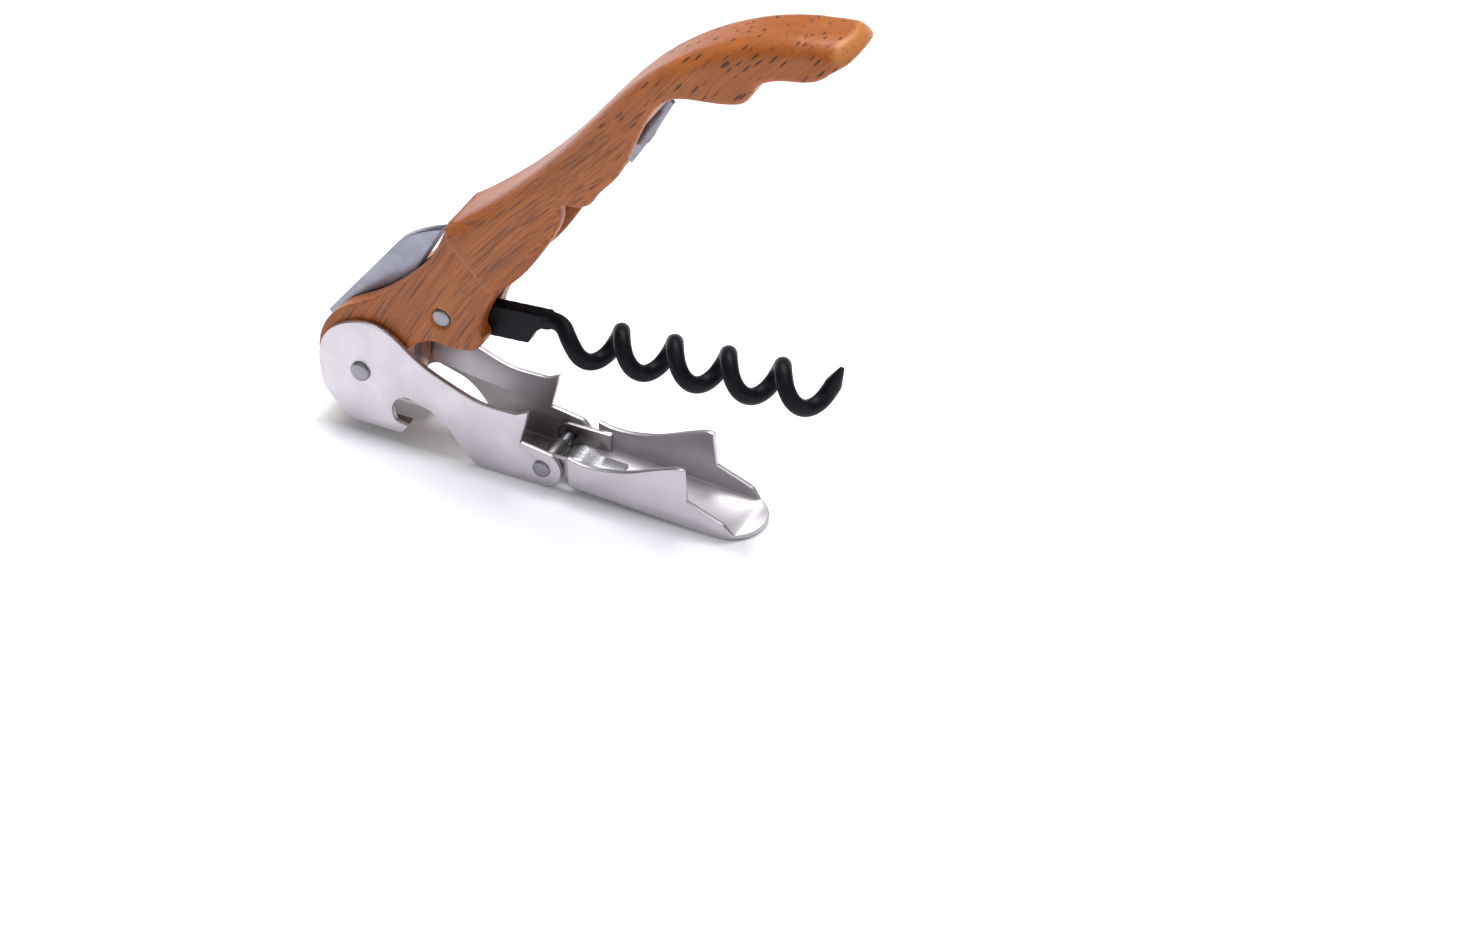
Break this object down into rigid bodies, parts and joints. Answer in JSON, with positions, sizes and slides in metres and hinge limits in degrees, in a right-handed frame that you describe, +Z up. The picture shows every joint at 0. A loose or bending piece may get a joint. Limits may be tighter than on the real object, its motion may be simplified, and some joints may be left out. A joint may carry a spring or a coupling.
{
  "type": "two-step waiter's corkscrew",
  "caption": "Waiter's corkscrew with a curved wooden handle, a hinged two-step bright metal lever, a black worm and a knife folded in the neck.",
  "frame": {"origin": "on the ground under the belly of the lever arm, midway across", "axes": "+X along the lever from its head to its foot, +Y across the lever, +Z up"},
  "size_m": [0.0905, 0.0144, 0.0926],
  "materials": {
    "wood": "satin lacquer",
    "nickel": "bright nickel plate",
    "steel": "satin",
    "spring_steel": "bright",
    "coating": "matte black non-stick coat",
    "bronze": "plain"
  },
  "bodies": {
    "lever": {"lever_arm": "nickel", "foot_pin": "steel", "foot_pin_cap": "steel", "foot_sleeve": "nickel"},
    "foot": {"lever_foot": "nickel", "foot_spring": "spring_steel"},
    "handle": {"handle": "wood", "lever_pin": "steel", "lever_pin_cap": "steel", "lever_washer_near": "bronze", "lever_washer_far": "bronze", "worm_pin": "steel", "worm_pin_cap": "steel", "knife_washer_near": "bronze", "knife_washer_far": "bronze", "foil_blade": "spring_steel", "foil_pin_front": "steel", "foil_pin_rear": "steel"},
    "worm": {"worm": "coating"},
    "knife": {"knife_blade": "steel"}
  },
  "joints": [
    {"name": "lever_hinge", "type": "hinge", "parent": "lever", "child": "handle", "pos_m": [-0.028, 0, 0.0118], "axis": [0, -1, 0], "range_deg": [-47.5, 57.5]},
    {"name": "foot_hinge", "type": "hinge", "parent": "lever", "child": "foot", "pos_m": [0.0034, 0, 0.0033], "axis": [0, 1, 0], "range_deg": [0, 90]},
    {"name": "worm_hinge", "type": "hinge", "parent": "handle", "child": "worm", "pos_m": [-0.01408, 0, 0.02522], "axis": [0, 1, 0], "range_deg": [-42.8, 51.9]},
    {"name": "knife_hinge", "type": "hinge", "parent": "handle", "child": "knife", "pos_m": [-0.028, 0, 0.0118], "axis": [0, -1, 0], "range_deg": [0, 130]}
  ],
  "couplings": [
    {"joint": "worm_hinge", "follows": "lever_hinge", "ratio": 0.901}
  ]
}
